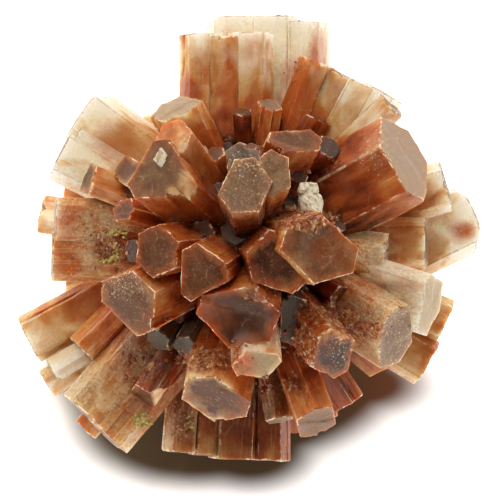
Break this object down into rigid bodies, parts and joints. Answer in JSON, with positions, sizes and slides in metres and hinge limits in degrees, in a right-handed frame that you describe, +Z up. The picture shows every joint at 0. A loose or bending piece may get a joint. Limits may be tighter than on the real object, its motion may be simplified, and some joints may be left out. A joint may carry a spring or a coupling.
{
  "type": "aragonite sputnik cluster",
  "caption": "Aragonite sputnik cluster: stout six-sided amber-brown crystals radiating from one core, resting on the flat end of its lowest crystal.",
  "frame": {"origin": "middle of the flat spot that the cluster rests on", "axes": "+Z up from the flat spot through the core, +Y away from the side that is shown, +X to the right along the longest extent"},
  "size_m": [0.0505, 0.0466, 0.0438],
  "materials": {
    "aragonite": "satin"
  },
  "bodies": {
    "root": {"aragonite_cluster": "aragonite"}
  },
  "joints": []
}
